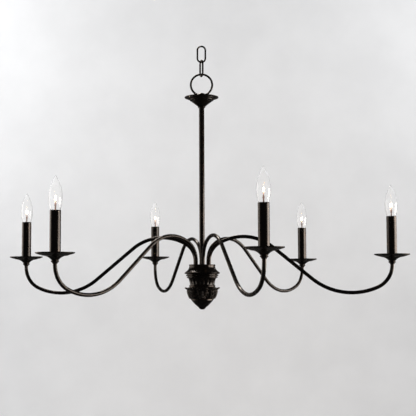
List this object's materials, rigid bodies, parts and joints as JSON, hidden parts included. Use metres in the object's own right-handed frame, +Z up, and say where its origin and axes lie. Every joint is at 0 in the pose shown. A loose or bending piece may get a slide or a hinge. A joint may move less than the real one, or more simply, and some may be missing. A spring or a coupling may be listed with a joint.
{
  "type": "multi arm chandelier",
  "caption": "Candle chandelier with S-curved arms on a turned hub, drip dishes, candle sleeves, torpedo lamps, a slim stem, a hanging loop and chain links.",
  "frame": {"origin": "crown of the upper chain link, on its inner face, where the ceiling hook bears; the whole fixture hangs below it", "axes": "+Z up along the stem's axis, -Y towards the front, +X to the right seen from the front"},
  "size_m": [1.0538, 1.0385, 0.7094],
  "materials": {
    "bronze": "oil-rubbed bronze, near black, semi-gloss with warm rubbed edges",
    "plated_steel": "zinc-plated threads and nuts",
    "lampholder": "black moulded phenolic",
    "lead_insulation": "brown insulation",
    "bulb_glass": "clear blown glass",
    "bulb_base": "drawn brass screw shell",
    "filament": "wire and pinched glass stem, lit"
  },
  "bodies": {
    "ceiling_link": {"chain_link_upper": "bronze"},
    "hanging_link": {"chain_link_lower": "bronze"},
    "chandelier": {"hang_loop": "bronze", "stem_cup": "bronze", "stem_tube": "bronze", "tie_rod": "plated_steel", "hub_plate": "bronze", "hub_body": "bronze", "leaf_bowl": "bronze", "finial": "bronze", "junction_ring": "lampholder", "arm_nuts": "plated_steel", "arm_leads": "lead_insulation", "arm_collars": "bronze", "socket_risers": "plated_steel", "arm_1": "bronze", "bobeche_1": "bronze", "candle_sleeve_1": "bronze", "socket_1": "lampholder", "arm_2": "bronze", "bobeche_2": "bronze", "candle_sleeve_2": "bronze", "socket_2": "lampholder", "arm_3": "bronze", "bobeche_3": "bronze", "candle_sleeve_3": "bronze", "socket_3": "lampholder", "arm_4": "bronze", "bobeche_4": "bronze", "candle_sleeve_4": "bronze", "socket_4": "lampholder", "arm_5": "bronze", "bobeche_5": "bronze", "candle_sleeve_5": "bronze", "socket_5": "lampholder", "arm_6": "bronze", "bobeche_6": "bronze", "candle_sleeve_6": "bronze", "socket_6": "lampholder"},
    "lamp_1": {"bulb_glass_1": "bulb_glass", "bulb_base_1": "bulb_base", "bulb_filament_1": "filament"},
    "lamp_2": {"bulb_glass_2": "bulb_glass", "bulb_base_2": "bulb_base", "bulb_filament_2": "filament"},
    "lamp_3": {"bulb_glass_3": "bulb_glass", "bulb_base_3": "bulb_base", "bulb_filament_3": "filament"},
    "lamp_4": {"bulb_glass_4": "bulb_glass", "bulb_base_4": "bulb_base", "bulb_filament_4": "filament"},
    "lamp_5": {"bulb_glass_5": "bulb_glass", "bulb_base_5": "bulb_base", "bulb_filament_5": "filament"},
    "lamp_6": {"bulb_glass_6": "bulb_glass", "bulb_base_6": "bulb_base", "bulb_filament_6": "filament"}
  },
  "joints": [
    {"name": "link_swing", "type": "hinge", "parent": "ceiling_link", "child": "hanging_link", "pos_m": [0, 0, -0.03625], "axis": [-0.3322, 0.9432, 0], "range_deg": [-25, 25]},
    {"name": "loop_swing", "type": "hinge", "parent": "hanging_link", "child": "chandelier", "pos_m": [0, 0, -0.0744], "axis": [1, 0, 0], "range_deg": [-25, 25]},
    {"name": "bulb_1_lift", "type": "slide", "parent": "chandelier", "child": "lamp_1", "axis": [0, 0, 1], "range_m": [0, 0.03]},
    {"name": "bulb_2_lift", "type": "slide", "parent": "chandelier", "child": "lamp_2", "axis": [0, 0, 1], "range_m": [0, 0.03]},
    {"name": "bulb_3_lift", "type": "slide", "parent": "chandelier", "child": "lamp_3", "axis": [0, 0, 1], "range_m": [0, 0.03]},
    {"name": "bulb_4_lift", "type": "slide", "parent": "chandelier", "child": "lamp_4", "axis": [0, 0, 1], "range_m": [0, 0.03]},
    {"name": "bulb_5_lift", "type": "slide", "parent": "chandelier", "child": "lamp_5", "axis": [0, 0, 1], "range_m": [0, 0.03]},
    {"name": "bulb_6_lift", "type": "slide", "parent": "chandelier", "child": "lamp_6", "axis": [0, 0, 1], "range_m": [0, 0.03]}
  ]
}
